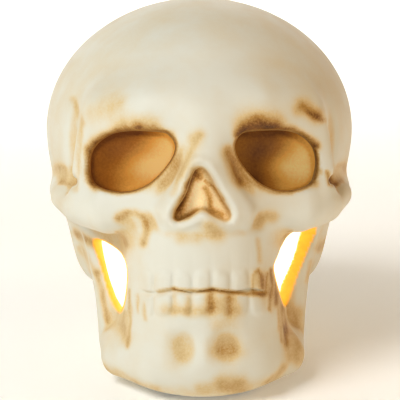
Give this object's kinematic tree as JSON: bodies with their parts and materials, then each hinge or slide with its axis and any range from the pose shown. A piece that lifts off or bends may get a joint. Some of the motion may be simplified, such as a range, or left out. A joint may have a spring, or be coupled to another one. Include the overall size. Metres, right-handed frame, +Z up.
{
  "type": "lit skull ornament",
  "caption": "Hollow ivory skull ornament with brown eye bowls and open cheek windows lit by a battery lamp inside, on a screwed base with a battery door and a slide switch.",
  "frame": {"origin": "on the floor under the middle of the object's box", "axes": "+Z up, -Y the way the face looks, +X to the right in the picture"},
  "size_m": [0.1676, 0.1986, 0.197],
  "materials": {
    "ivory_shell": "cast resin, satin ivory with brown stain in the recesses",
    "eye_brown": "smooth brown paint, shaded to gold",
    "black_plastic": "fine textured moulding",
    "foot_rubber": "soft matt rubber",
    "bright_steel": "plated",
    "cell_jacket": "plain printed sleeve",
    "switch_case": "stamped and plated",
    "slider_plastic": "moulded",
    "lamp_white": "moulded",
    "board_white": "white solder mask",
    "led_lens": "clear warm lens",
    "chip_black": "moulded",
    "frosted_cover": "frosted, lit from inside",
    "red_sleeve": "flexible sleeve",
    "black_sleeve": "flexible sleeve"
  },
  "bodies": {
    "head": {"face_shell": "ivory_shell", "rear_shell": "ivory_shell", "left_eye_cup": "eye_brown", "right_eye_cup": "eye_brown", "base_plate": "black_plastic", "rubber_foot_1": "foot_rubber", "rubber_foot_2": "foot_rubber", "rubber_foot_3": "foot_rubber", "rubber_foot_4": "foot_rubber", "base_screw_1": "bright_steel", "base_screw_2": "bright_steel", "base_screw_3": "bright_steel", "battery_1": "cell_jacket", "battery_2": "cell_jacket", "battery_3": "cell_jacket", "battery_spring_1": "bright_steel", "battery_spring_2": "bright_steel", "battery_spring_3": "bright_steel", "negative_terminal": "bright_steel", "first_link_plate": "bright_steel", "second_link_plate": "bright_steel", "positive_terminal": "bright_steel", "switch_housing": "switch_case", "lamp_post": "lamp_white", "post_screw_1": "bright_steel", "post_screw_2": "bright_steel", "led_board": "board_white", "led_1": "led_lens", "led_2": "led_lens", "led_3": "led_lens", "timer_chip": "chip_black", "diffuser_dome": "frosted_cover", "red_lead": "red_sleeve", "black_lead": "black_sleeve", "switch_lead": "black_sleeve"},
    "door": {"battery_door": "black_plastic"},
    "slider": {"switch_slider": "slider_plastic"}
  },
  "joints": [
    {"name": "battery_door_hinge", "type": "hinge", "parent": "head", "child": "door", "pos_m": [0, 0.02973, 0.003], "axis": [1, 0, 0], "range_deg": [0, 100]},
    {"name": "switch_slide", "type": "slide", "parent": "head", "child": "slider", "axis": [1, 0, 0], "range_m": [0, 0.004]}
  ]
}
